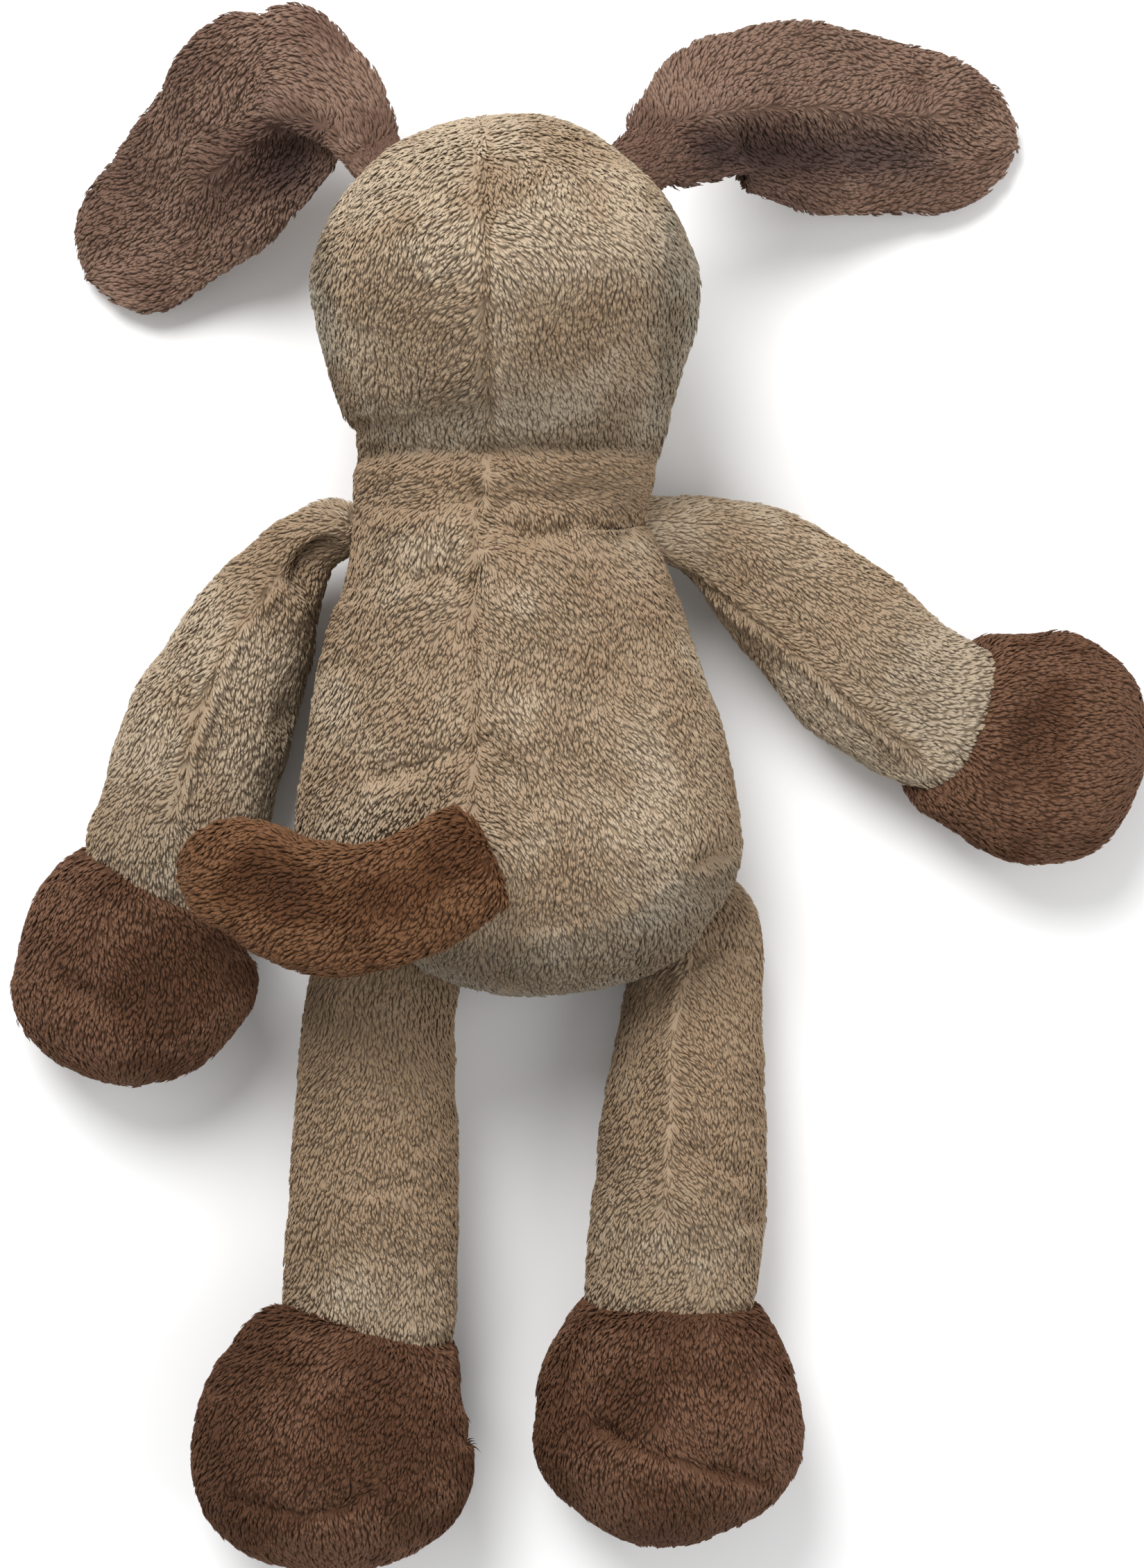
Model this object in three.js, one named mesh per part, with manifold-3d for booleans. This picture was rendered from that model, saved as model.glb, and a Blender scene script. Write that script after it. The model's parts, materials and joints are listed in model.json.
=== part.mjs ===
// A floppy plush dog lying face down, arms and legs spread, tail laid over its back.
// Millimetres, +Z up. +Y points to the head, +X to the dog's right hand side. The parts are placed
// from a point near the middle of the body, and the last step moves the origin to the surface that
// the dog lies on, under the middle of its outline.

import * as THREE from 'three';
import { mergeVertices } from 'three/addons/utils/BufferGeometryUtils.js';
import Module from 'manifold-3d';

// ---------------------------------------------------------------- driving dimensions

const SKIN = 2;            // fabric panel, backing and pile together
const SEAM_GAP = 0.2;      // each panel stands this far back from its seam
const FILL_GAP = 0.8;      // between a panel and the filling behind it
const FILLING = SKIN + FILL_GAP;
const WADDING = 3.2;       // depth of the thin wadding inside the folded ears
const FILLING_FLOOR = 4.5; // fillings stay this far above the surface the dog lies on
const END_HOLE = 0.05;     // where panels gather to a point they stop at this part of their width

const HEAD_RADIUS = 43.5;
const HEAD_HEIGHT = 57;    // centre of the head above the surface
const NECK_RADIUS = 34;
const BODY_HALF_WIDTH = 51;
const BODY_HALF_HEIGHT = 35;
const BODY_HEIGHT = 33;    // centre of the body above the surface
const ARM_HALF_WIDTH = 20;
const ARM_HALF_HEIGHT = 18.5;
const PAW_HALF_WIDTH = 28.5;
const PAW_HALF_HEIGHT = 20;
const LEG_HALF_WIDTH = 21;
const LEG_HALF_HEIGHT = 19.5;
const FOOT_HALF_WIDTH = 31;
const FOOT_HALF_HEIGHT = 26;
const EAR_HALF_WIDTH = 21.5;
const EAR_HALF_HEIGHT = 4.2;
const TAIL_HALF_WIDTH = 14.5;
const TAIL_HALF_HEIGHT = 7.5;

const MIDDLE_X = -15.5;    // the head and body lie a little left of the outline's middle
const NECK_HINGE = new THREE.Vector3(-16.5, 68, 35);
const NECK_BALL = new THREE.Vector3(34.3, 32.3, 32.3);

const BEIGE = 0x96836b;
const BROWN = 0x6e5443;

// ---------------------------------------------------------------- materials

function plush(colour) {
  return new THREE.MeshStandardMaterial({ color: colour, roughness: 0.95, metalness: 0 });
}

const coat = plush(BEIGE);
const trim = plush(BROWN);
const fibre = plush(0xe8e4dc);
const pellets = new THREE.MeshStandardMaterial({ color: 0xd9d2c4, roughness: 0.6, metalness: 0 });
const glossBlack = new THREE.MeshStandardMaterial({ color: 0x17120f, roughness: 0.15, metalness: 0 });
const washerWhite = new THREE.MeshStandardMaterial({ color: 0xe6e6e2, roughness: 0.5, metalness: 0 });

// ---------------------------------------------------------------- soft forms

// A soft form is an oval section that changes along a spine. Each station is
// [x, y, z, half width, half height]. Its two ends are rounded off over the lengths given.
// Sections stand square to the spine, or upright where the form says so.
class SoftForm {
  constructor(stations, roundStart, roundEnd, upright = false) {
    const places = stations.map(([x, y, z]) => new THREE.Vector3(x, y, z));
    const sizes = stations.map(([, , , wide, high]) => new THREE.Vector3(wide, high, 0));
    this.spine = new THREE.CatmullRomCurve3(places, false, 'catmullrom', 0.5);
    this.sizes = new THREE.CatmullRomCurve3(sizes, false, 'catmullrom', 0.5);
    this.spine.arcLengthDivisions = 40 * (stations.length - 1);
    this.length = this.spine.getLength();
    this.roundStart = roundStart;
    this.roundEnd = roundEnd;
    this.stationCount = stations.length;
    this.upright = upright;
  }

  // Distance along the spine of a station, which may be a fraction.
  mark(station) {
    const lengths = this.spine.getLengths();
    const index = station / (this.stationCount - 1) * (lengths.length - 1);
    return lengths[Math.round(index)];
  }

  // How far the rounded ends have opened at a distance along the spine, 0 to 1.
  opening(distance) {
    const start = this.roundStart > 0 ? Math.max(0, 1 - distance / this.roundStart) : 0;
    const left = this.length - distance;
    const end = this.roundEnd > 0 ? Math.max(0, 1 - left / this.roundEnd) : 0;
    const opening = Math.sqrt(Math.max(0, 1 - start ** 2)) * Math.sqrt(Math.max(0, 1 - end ** 2));
    return Math.max(END_HOLE, opening);
  }

  // The same place along the spine, moved in from the rounded ends for a layer at this depth.
  inset(distance, depth) {
    const left = this.length - distance;
    let moved = distance;
    if (distance < this.roundStart) {
      moved += depth * (1 - distance / this.roundStart);
    }
    if (left < this.roundEnd) {
      moved -= depth * (1 - left / this.roundEnd);
    }
    return THREE.MathUtils.clamp(moved, 0, this.length);
  }

  // A point at this distance, angle round the section and depth under the surface.
  // Angle 0 is the right hand edge seen along the spine, 90 degrees is the top.
  point(distance, angle, depth, rise, floor, share) {
    const opening = this.opening(distance) * share;
    const t = this.spine.getUtoTmapping(0, this.inset(distance, depth));
    const size = this.sizes.getPoint(t);
    const tangent = this.spine.getTangent(t);
    const side = new THREE.Vector3(0, 0, 1).cross(tangent).normalize().negate();
    const up = this.upright
      ? new THREE.Vector3(0, 0, 1)
      : new THREE.Vector3().crossVectors(side, tangent);
    const point = this.spine.getPoint(t);
    point.addScaledVector(side, (size.x - depth) * opening * Math.cos(angle));
    point.addScaledVector(up, (size.y - depth) * opening * Math.sin(angle) + rise);
    point.z = Math.max(point.z, floor);
    return point;
  }
}

// Distances along a form from one place to another, closer together towards its rounded ends.
function rows(form, from, to, count) {
  const atStart = from <= 0 && form.roundStart > 0;
  const atEnd = to >= form.length - 1e-6;
  const ease = (share) => {
    if (atStart && atEnd) return (1 - Math.cos(Math.PI * share)) / 2;
    if (atStart) return 1 - Math.cos(Math.PI * share / 2);
    if (atEnd) return Math.sin(Math.PI * share / 2);
    return share;
  };
  return Array.from({ length: count + 1 }, (_, i) => from + (to - from) * ease(i / count));
}

function finish(geometry) {
  geometry.deleteAttribute('normal');
  geometry.deleteAttribute('uv');
  const merged = mergeVertices(geometry, 1e-4);
  merged.computeVertexNormals();
  return merged;
}

// One sewn panel: a curved sheet of SKIN thickness over part of a form.
// Rise lifts the panel off the seam it shares with the panel below.
function panel(form, distances, fromDegrees, toDegrees, stepDegrees, rise = 0) {
  const columns = Math.round((toDegrees - fromDegrees) / stepDegrees);
  const count = distances.length - 1;
  const geometry = new THREE.BoxGeometry(1, 1, 1, columns, 1, count);
  const position = geometry.attributes.position;
  const from = THREE.MathUtils.degToRad(fromDegrees);
  const to = THREE.MathUtils.degToRad(toDegrees);
  for (let i = 0; i < position.count; i += 1) {
    const row = Math.round((0.5 - position.getZ(i)) * count);
    const outside = position.getY(i) > 0;
    const angle = THREE.MathUtils.lerp(to, from, position.getX(i) + 0.5);
    const depth = outside ? 0 : SKIN;
    const trimmed = seamTrim(form, distances[row], angle, from, to);
    const point = form.point(distances[row], trimmed, depth, rise, depth, 1);
    position.setXYZ(i, point.x, point.y, point.z);
  }
  return finish(geometry);
}

// The angle pulled back from the panel's edges, so that the seam keeps its gap.
function seamTrim(form, distance, angle, from, to) {
  const size = form.sizes.getPoint(form.spine.getUtoTmapping(0, distance));
  const radius = Math.min(size.x, size.y) * form.opening(distance);
  const trim = Math.min(SEAM_GAP / radius, 0.06);
  return THREE.MathUtils.clamp(angle, from + trim, to - trim);
}

// A closed solid that follows a form at a depth under its surface.
function solid(form, distances, stepDegrees, depth, floor) {
  const columns = Math.round(360 / stepDegrees);
  const count = distances.length - 1;
  const geometry = new THREE.CylinderGeometry(1, 1, 1, columns, count);
  const position = geometry.attributes.position;
  for (let i = 0; i < position.count; i += 1) {
    const row = Math.round((0.5 - position.getY(i)) * count);
    const angle = Math.atan2(position.getX(i), position.getZ(i));
    const share = Math.hypot(position.getX(i), position.getZ(i));
    const point = form.point(distances[row], angle, depth, 0, floor, share);
    position.setXYZ(i, point.x, point.y, point.z);
  }
  return finish(geometry);
}

function filling(form, distances, stepDegrees) {
  return solid(form, distances, stepDegrees, FILLING, FILLING_FLOOR);
}

// ---------------------------------------------------------------- cutting

const wasm = await Module();
wasm.setup();

function toManifold(geometry) {
  const plain = geometry.clone();
  plain.deleteAttribute('normal');
  plain.deleteAttribute('uv');
  const merged = mergeVertices(plain, 1e-4);
  return new wasm.Manifold(new wasm.Mesh({
    numProp: 3,
    vertProperties: new Float32Array(merged.attributes.position.array),
    triVerts: new Uint32Array(merged.index.array),
  }));
}

function cut(geometry, ...tools) {
  let result = toManifold(geometry);
  for (const tool of tools) {
    result = result.subtract(toManifold(tool));
  }
  const mesh = result.getMesh();
  const cutGeometry = new THREE.BufferGeometry();
  cutGeometry.setAttribute('position', new THREE.BufferAttribute(mesh.vertProperties, 3));
  cutGeometry.setIndex(new THREE.BufferAttribute(mesh.triVerts, 1));
  cutGeometry.computeVertexNormals();
  return cutGeometry;
}

function ellipsoid(centre, radii, around, down) {
  const geometry = new THREE.SphereGeometry(1, around, down);
  geometry.scale(radii.x, radii.y, radii.z);
  geometry.translate(centre.x, centre.y, centre.z);
  return geometry;
}

// ---------------------------------------------------------------- the dog

const dog = new THREE.Group();

function add(name, geometry, material) {
  const mesh = new THREE.Mesh(geometry, material);
  mesh.name = name;
  dog.add(mesh);
}

const BIG_STEP = 15;   // degrees between the edges of facets on the head and body
const LIMB_STEP = 30;  // and on limbs, ears and tail

// ---------------------------------------------------------------- torso

function addTorso() {
  const form = new SoftForm([
    [-16.5, 86, 36, 32.5, 31],
    [-16.5, 68, 35, 32.5, 31],
    [-19.5, 57, 34, 33, 32],
    [-17, 44, 33.5, 38.5, 33.5],
    [-14, 25, BODY_HEIGHT, 45, 34.5],
    [-12.5, -8, BODY_HEIGHT, BODY_HALF_WIDTH, BODY_HALF_HEIGHT],
    [-13, -29, BODY_HEIGHT, 50, 34.5],
    [-15, -46.5, BODY_HEIGHT, 46, 33],
  ], 18, 33);
  const gussetSeam = form.length - 15;
  const beanSplit = form.mark(5);
  const front = rows(form, 0, form.mark(2), 4);
  const back = rows(form, form.mark(2), beanSplit, 4).slice(1);
  const seat = rows(form, beanSplit, gussetSeam, 3).slice(1);
  const body = [...front, ...back, ...seat];
  const base = rows(form, gussetSeam + 2 * SEAM_GAP, form.length, 4);
  add('back_left_panel', panel(form, body, -15, 90, BIG_STEP), coat);
  add('back_right_panel', panel(form, body, 90, 195, BIG_STEP), coat);
  add('belly_panel', panel(form, body, 195, 345, BIG_STEP), coat);
  add('seat_gusset', panel(form, base, -88, 268, BIG_STEP), coat);
  add('torso_stuffing', filling(form, [...front, ...back], BIG_STEP), fibre);
  const beans = [beanSplit + FILL_GAP, ...seat, ...base.slice(1)];
  add('seat_bean_bag', filling(form, beans, BIG_STEP), pellets);
}

// ---------------------------------------------------------------- head

const MUZZLE_CENTRE = new THREE.Vector3(MIDDLE_X, 100, 18);
const MUZZLE_RADII = new THREE.Vector3(22, 19, 18.5);
const EYE_ANGLE = 24;      // degrees round the head from the middle of the face to each eye
const EYE_PLACE = 51;      // distance along the head from the neck seam to the eyes
const EYE_RADIUS = 5.5;
const POST_RADIUS = 1.6;

function headForm() {
  return new SoftForm([
    [-16.5, 74.5, 36, NECK_RADIUS + 2, NECK_RADIUS + 0.6],
    [MIDDLE_X, 83, 43, 37, 37.5],
    [MIDDLE_X, 95, 51.5, 41.5, 41.5],
    [MIDDLE_X, 110, HEAD_HEIGHT, HEAD_RADIUS, HEAD_RADIUS],
    [MIDDLE_X, 127, HEAD_HEIGHT, HEAD_RADIUS, HEAD_RADIUS],
    [MIDDLE_X, 149, HEAD_HEIGHT, 42, 42],
  ], 0, 39, true);
}

// Turns a shape made along +Y to stand on the face at an eye, -1 for the left and 1 for the right.
function placeAtEye(geometry, form, side) {
  const angle = THREE.MathUtils.degToRad(side * EYE_ANGLE - 90);
  const nearby = 0.02;
  const place = form.point(EYE_PLACE, angle, 0, 0, 0, 1);
  const along = form.point(EYE_PLACE + 1, angle, 0, 0, 0, 1).sub(place);
  const round = form.point(EYE_PLACE, angle + nearby, 0, 0, 0, 1).sub(place);
  const out = new THREE.Vector3().crossVectors(along, round).normalize();
  const turn = new THREE.Quaternion().setFromUnitVectors(new THREE.Vector3(0, 1, 0), out);
  geometry.applyQuaternion(turn);
  geometry.translate(place.x, place.y, place.z);
  return geometry;
}

function eye() {
  const back = 0.8;
  const height = 3.6;
  const profile = [new THREE.Vector2(0, -6), new THREE.Vector2(POST_RADIUS, -6)];
  profile.push(new THREE.Vector2(POST_RADIUS, back));
  for (let i = 0; i <= 4; i += 1) {
    const turn = i / 4 * Math.PI / 2;
    profile.push(new THREE.Vector2(EYE_RADIUS * Math.cos(turn), back + height * Math.sin(turn)));
  }
  profile[profile.length - 1].x = 0;
  return new THREE.LatheGeometry(profile, 12);
}

function washer() {
  const inner = POST_RADIUS + 0.3;
  const outer = 6;
  const profile = [[inner, -4.6], [outer, -4.6], [outer, -3.4], [inner, -3.4], [inner, -4.6]];
  return new THREE.LatheGeometry(profile.map(([x, y]) => new THREE.Vector2(x, y)), 12);
}

function drill(radius, from, to) {
  const geometry = new THREE.CylinderGeometry(radius, radius, to - from, 16);
  geometry.translate(0, (from + to) / 2, 0);
  return geometry;
}

// The muzzle's oval, grown by this much and flattened where it rests.
function muzzleOval(grow, floor) {
  const radii = MUZZLE_RADII.clone().addScalar(grow);
  const geometry = ellipsoid(MUZZLE_CENTRE, radii, 14, 10);
  const position = geometry.attributes.position;
  for (let i = 0; i < position.count; i += 1) {
    position.setZ(i, Math.max(position.getZ(i), floor));
  }
  return geometry;
}

function addHead() {
  const form = headForm();
  const neckRows = rows(form, 0, form.mark(3), 4);
  const crownRows = rows(form, form.mark(3), form.length, 6).slice(1);
  const all = [...neckRows, ...crownRows];
  const sides = [['left', -1, 90, 195, 195, 270], ['right', 1, -15, 90, -90, -15]];
  for (const [name, side, backFrom, backTo, faceFrom, faceTo] of sides) {
    const hole = placeAtEye(drill(POST_RADIUS + 0.4, -10, 6), form, side);
    add(`head_${name}_panel`, panel(form, all, backFrom, backTo, BIG_STEP), coat);
    add(`face_${name}_panel`, cut(panel(form, all, faceFrom, faceTo, BIG_STEP), hole), coat);
    add(`${name}_eye`, finish(placeAtEye(eye(), form, side)), glossBlack);
    add(`${name}_eye_washer`, finish(placeAtEye(washer(), form, side)), washerWhite);
  }
  const neckSocket = ellipsoid(NECK_HINGE, NECK_BALL, 18, 12);
  const pockets = [-1, 1].map((side) => placeAtEye(drill(6.6, -7, 6), form, side));
  const packed = filling(form, all.slice(1), BIG_STEP);
  add('head_stuffing', cut(packed, neckSocket, ...pockets), fibre);

  const headSpace = solid(form, all, BIG_STEP, -2 * SEAM_GAP, 0);
  const hollow = muzzleOval(-SKIN, SKIN);
  const muzzleSpace = muzzleOval(2 * SEAM_GAP, -5);
  add('muzzle_panel', cut(muzzleOval(0, 0), hollow, headSpace), coat);
  add('muzzle_stuffing', cut(muzzleOval(-FILLING, FILLING), headSpace), fibre);
  const noseCentre = new THREE.Vector3(MIDDLE_X, 116.5, 8);
  const nose = ellipsoid(noseCentre, new THREE.Vector3(7.5, 6, 6), 12, 8);
  add('nose', cut(nose, muzzleSpace, headSpace), glossBlack);
}

// ---------------------------------------------------------------- ears

function addEar(name, spine) {
  const widths = [0.4, 0.55, 0.75, 0.9, 1, 1, 0.88, 0.6];
  const stations = spine.map((place, i) => {
    return [...place, EAR_HALF_WIDTH * widths[i], EAR_HALF_HEIGHT * (i === 0 ? 0.8 : 1)];
  });
  const form = new SoftForm(stations, 3, 22);
  const all = rows(form, 0, form.length, 14);
  add(`${name}_outer_panel`, panel(form, all, 0, 180, LIMB_STEP, SEAM_GAP), trim);
  add(`${name}_inner_panel`, panel(form, all, 180, 360, LIMB_STEP, -SEAM_GAP), trim);
  add(`${name}_wadding`, solid(form, all, LIMB_STEP, WADDING, FILLING_FLOOR), fibre);
}

function addEars() {
  addEar('left_ear', [
    [-46, 143, 46], [-54, 148, 43], [-63, 151, 38], [-73, 151, 30],
    [-83, 146.5, 21], [-93, 138.5, 13], [-102, 128.5, 8], [-112, 117, 5],
  ]);
  addEar('right_ear', [
    [17, 143, 46], [24, 148, 42.5], [34, 151.5, 35], [46, 153, 25.5],
    [60, 154, 16.5], [74, 154.5, 10], [89, 153.5, 6.5], [104, 152, 5],
  ]);
}

// ---------------------------------------------------------------- arms

function addArm(side, spine) {
  const widths = [0.2, 0.55, 0.87, 1, 1].map((share) => share * ARM_HALF_WIDTH);
  const heights = [0.55, 0.75, 0.95, 1, 1].map((share) => share * ARM_HALF_HEIGHT);
  widths.push(PAW_HALF_WIDTH, PAW_HALF_WIDTH);
  heights.push(PAW_HALF_HEIGHT, PAW_HALF_HEIGHT);
  const form = new SoftForm(spine.map((place, i) => [...place, widths[i], heights[i]]), 4, 25);
  const wrist = form.mark(4);
  const arm = rows(form, 0, wrist, 8);
  const paw = rows(form, wrist + 2 * SEAM_GAP, form.length, 6);
  const pouch = [wrist + FILL_GAP, ...paw.slice(1)];
  add(`${side}_arm_top_panel`, panel(form, arm, 0, 180, LIMB_STEP, SEAM_GAP), coat);
  add(`${side}_arm_under_panel`, panel(form, arm, 180, 360, LIMB_STEP, -SEAM_GAP), coat);
  add(`${side}_arm_stuffing`, filling(form, arm, LIMB_STEP), fibre);
  add(`${side}_paw_top_panel`, panel(form, paw, 0, 180, LIMB_STEP, SEAM_GAP), trim);
  add(`${side}_paw_under_panel`, panel(form, paw, 180, 360, LIMB_STEP, -SEAM_GAP), trim);
  add(`${side}_paw_bean_pouch`, filling(form, pouch, LIMB_STEP), pellets);
}

function addArms() {
  addArm('left', [
    [-55, 61, 26], [-70, 46, 22], [-80, 29, 19], [-88, 4, 18],
    [-96, -23, 18], [-101.5, -43, 19.5], [-100.5, -69.5, 19],
  ]);
  addArm('right', [
    [15.5, 60.5, 26], [32, 55.5, 22], [48, 47, 19], [65, 31, 18],
    [84, 18, 18], [106, 9.5, 19.5], [132.5, 7, 19],
  ]);
}

// ---------------------------------------------------------------- legs

function addLeg(side, spine) {
  const widths = [0.68, 0.83, 0.95, 1, 1.06].map((share) => share * LEG_HALF_WIDTH);
  const heights = [0.2, 0.6, 0.95, 1, 1.03].map((share) => share * LEG_HALF_HEIGHT);
  widths.push(FOOT_HALF_WIDTH, FOOT_HALF_WIDTH);
  heights.push(FOOT_HALF_HEIGHT, FOOT_HALF_HEIGHT);
  const form = new SoftForm(spine.map((place, i) => [...place, widths[i], heights[i]]), 4, 28);
  const ankle = form.mark(4);
  const soleSeam = form.length - 16;
  const leg = rows(form, 0, ankle, 8);
  const foot = rows(form, ankle + 2 * SEAM_GAP, soleSeam, 4);
  const sole = rows(form, soleSeam + 2 * SEAM_GAP, form.length, 4);
  const pouch = [ankle + FILL_GAP, ...foot.slice(1), ...sole.slice(1)];
  add(`${side}_leg_back_panel`, panel(form, leg, 0, 180, LIMB_STEP, SEAM_GAP), coat);
  add(`${side}_leg_front_panel`, panel(form, leg, 180, 360, LIMB_STEP, -SEAM_GAP), coat);
  add(`${side}_leg_stuffing`, filling(form, leg, LIMB_STEP), fibre);
  add(`${side}_foot_heel_panel`, panel(form, foot, 0, 180, LIMB_STEP, SEAM_GAP), trim);
  add(`${side}_foot_instep_panel`, panel(form, foot, 180, 360, LIMB_STEP, -SEAM_GAP), trim);
  add(`${side}_foot_sole`, panel(form, sole, -89, 269, LIMB_STEP), trim);
  add(`${side}_foot_bean_pouch`, filling(form, pouch, LIMB_STEP), pellets);
}

function addLegs() {
  addLeg('left', [
    [-43, -37, 4], [-44, -52, 12], [-46, -70, 18.5], [-46, -98, 19],
    [-47, -124, 19.5], [-54, -151, 25.5], [-55.5, -181.5, 25],
  ]);
  addLeg('right', [
    [29, -30, 4], [29, -47, 12], [27, -66, 18.5], [24.5, -94, 19],
    [22.5, -119, 19.5], [22, -144, 25.5], [23, -174.5, 25],
  ]);
}

// ---------------------------------------------------------------- tail

function addTail() {
  const widths = [0.88, 1, 1, 1, 0.86, 0.6];
  const spine = [
    [-15, -15, 77.5], [-30, -22.5, 76], [-45, -28, 70],
    [-60, -26, 62], [-75, -19, 54], [-89, -13, 51],
  ];
  const stations = spine.map((place, i) => [...place, TAIL_HALF_WIDTH * widths[i], TAIL_HALF_HEIGHT]);
  const form = new SoftForm(stations, 6, 12);
  const all = rows(form, 0, form.length, 8);
  add('tail_top_panel', panel(form, all, 0, 180, LIMB_STEP, SEAM_GAP), trim);
  add('tail_under_panel', panel(form, all, 180, 360, LIMB_STEP, -SEAM_GAP), trim);
  add('tail_stuffing', filling(form, all, LIMB_STEP), fibre);
}

addTorso();
addHead();
addEars();
addArms();
addLegs();
addTail();

const outline = new THREE.Box3().setFromObject(dog, true);
const middle = outline.getCenter(new THREE.Vector3());
dog.position.set(-middle.x, -middle.y, -outline.min.z);

export default dog;
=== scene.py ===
"""A floppy plush dog lying face down, seen from above. Lengths are in millimetres until a mesh is made."""

import json
import math

import bpy
import numpy as np
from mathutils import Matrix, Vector


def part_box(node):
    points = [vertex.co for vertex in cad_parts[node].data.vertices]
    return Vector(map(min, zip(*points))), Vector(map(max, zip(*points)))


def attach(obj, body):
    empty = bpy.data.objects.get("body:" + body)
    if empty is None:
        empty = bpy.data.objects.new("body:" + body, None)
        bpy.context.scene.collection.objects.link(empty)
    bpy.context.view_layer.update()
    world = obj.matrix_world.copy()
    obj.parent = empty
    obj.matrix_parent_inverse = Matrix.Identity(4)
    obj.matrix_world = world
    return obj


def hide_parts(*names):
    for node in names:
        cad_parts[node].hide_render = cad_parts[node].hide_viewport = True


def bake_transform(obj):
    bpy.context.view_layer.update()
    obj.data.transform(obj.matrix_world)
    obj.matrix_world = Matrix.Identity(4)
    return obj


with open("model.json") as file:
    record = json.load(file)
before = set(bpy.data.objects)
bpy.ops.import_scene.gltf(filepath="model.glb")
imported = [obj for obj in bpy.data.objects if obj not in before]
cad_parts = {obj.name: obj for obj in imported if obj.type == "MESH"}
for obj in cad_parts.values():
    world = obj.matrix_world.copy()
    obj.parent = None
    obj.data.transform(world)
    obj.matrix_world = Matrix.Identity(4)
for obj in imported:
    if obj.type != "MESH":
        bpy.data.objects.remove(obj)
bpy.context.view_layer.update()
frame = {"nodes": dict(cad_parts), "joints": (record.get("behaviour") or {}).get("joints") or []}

MM = 0.001

# The model's own coordinates, as in the CAD source, are moved so that the origin is under its middle.
NECK_HINGE = np.array([-16.5, 68.0, 35.0])
HINGES = {joint["name"]: joint for joint in frame["joints"]}
SHIFT = np.array(HINGES["neck_nod"]["pos_m"]) / MM - NECK_HINGE

PILE_DEPTH = 1.4  # the pile's tips stand this far out of the cloth they are knitted into
SKIN_TONE = 0.1  # the cloth's colour: 0 is that of a tuft's root and 1 that of its tip

rng = np.random.default_rng(7)


# ---------------------------------------------------------------- small helpers

def smooth(low, high, value):
    """0 below low, 1 above high, and an even curve between."""
    share = np.clip((value - low) / (high - low), 0, 1)
    return share * share * (3 - 2 * share)


def unit(vectors):
    """The same directions at length 1."""
    return vectors / np.maximum(np.linalg.norm(vectors, axis=-1, keepdims=True), 1e-9)


def lattice(cells, seed):
    """One repeatable random number from -1 to 1 for each whole-numbered cell."""
    x, y, z = (cells[..., i].astype(np.int64) for i in range(3))
    mixed = x * 73856093 ^ y * 19349663 ^ z * 83492791 ^ seed * 2654435761
    mixed = (mixed ^ (mixed >> 13)) * 1274126177
    mixed = (mixed ^ (mixed >> 16)) & 0xFFFFFF
    return mixed / 0x7FFFFF - 1.0


def lumps(points, size, seed):
    """Smooth noise from -1 to 1 whose lumps are about this size."""
    scaled = points / size
    low = np.floor(scaled)
    blend = scaled - low
    blend = blend * blend * (3 - 2 * blend)
    total = np.zeros(points.shape[:-1])
    for corner in range(8):
        step = np.array([corner & 1, corner >> 1 & 1, corner >> 2 & 1])
        weight = np.prod(np.where(step, blend, 1 - blend), axis=-1)
        total += weight * lattice(low + step, seed)
    return total


def path_distance(points, path):
    """Seen from above: each point's distance from a polyline, its share along it, and the way from it."""
    flat = points[..., :2]
    path = np.array(path, dtype=float)
    lengths = np.linalg.norm(np.diff(path, axis=0), axis=1)
    before = np.concatenate([[0], np.cumsum(lengths)])
    best = np.full(flat.shape[:-1], 1e9)
    along = np.zeros(flat.shape[:-1])
    away = np.zeros(flat.shape)
    for i, (a, b) in enumerate(zip(path[:-1], path[1:])):
        share = np.clip(((flat - a) @ (b - a)) / lengths[i] ** 2, 0, 1)
        offset = flat - (a + share[..., None] * (b - a))
        gap = np.linalg.norm(offset, axis=-1)
        nearer = gap < best
        best = np.where(nearer, gap, best)
        along = np.where(nearer, (before[i] + share * lengths[i]) / before[-1], along)
        away = np.where(nearer[..., None], offset, away)
    return best, along, away / np.maximum(best, 0.5)[..., None]


def ridge(points, path, height, width):
    """A soft line standing out of the cloth; a negative height is a sewn groove. Puckers run along it."""
    gap, along, _ = path_distance(points, path)
    pucker = 1 + 0.35 * lumps(points, 5, 11)
    ends = smooth(0, 0.08, along) * smooth(1, 0.92, along)
    return height * pucker * ends * np.exp(-((gap / width) ** 2))


def ruffle(points, path, height, width):
    """A seam whose two edges stand up and pucker, with a narrow groove between them."""
    gap, along, _ = path_distance(points, path)
    pucker = 1 + 0.6 * lumps(points, 3.5, 12)
    ends = smooth(0, 0.06, along) * smooth(1, 0.94, along)
    both = np.exp(-((gap / width) ** 2)) - 1.3 * np.exp(-((gap / (0.4 * width)) ** 2))
    return height * pucker * ends * both


def seam_shade(points, paths):
    """The dark line where the pile parts at each seam, from 0 to 1."""
    shade = np.zeros(points.shape[:-1])
    for path in paths:
        gap, along, _ = path_distance(points, path)
        ends = smooth(0, 0.08, along) * smooth(1, 0.92, along)
        broken = 0.75 + 0.45 * lumps(points, 4, 16)
        shade = np.maximum(shade, ends * broken * np.exp(-((gap / 0.9) ** 2)))
    return shade


def dent(points, centre, depth, radius):
    """A round hollow; a negative depth is a bulge."""
    gap = np.linalg.norm(points - np.array(centre), axis=-1)
    return -depth * np.exp(-((gap / radius) ** 2))


def facing_up(normals):
    """1 where the cloth faces up, and 0 where it is upright or faces down."""
    return smooth(0.05, 0.4, normals[..., 2])


# ---------------------------------------------------------------- soft forms

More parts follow.
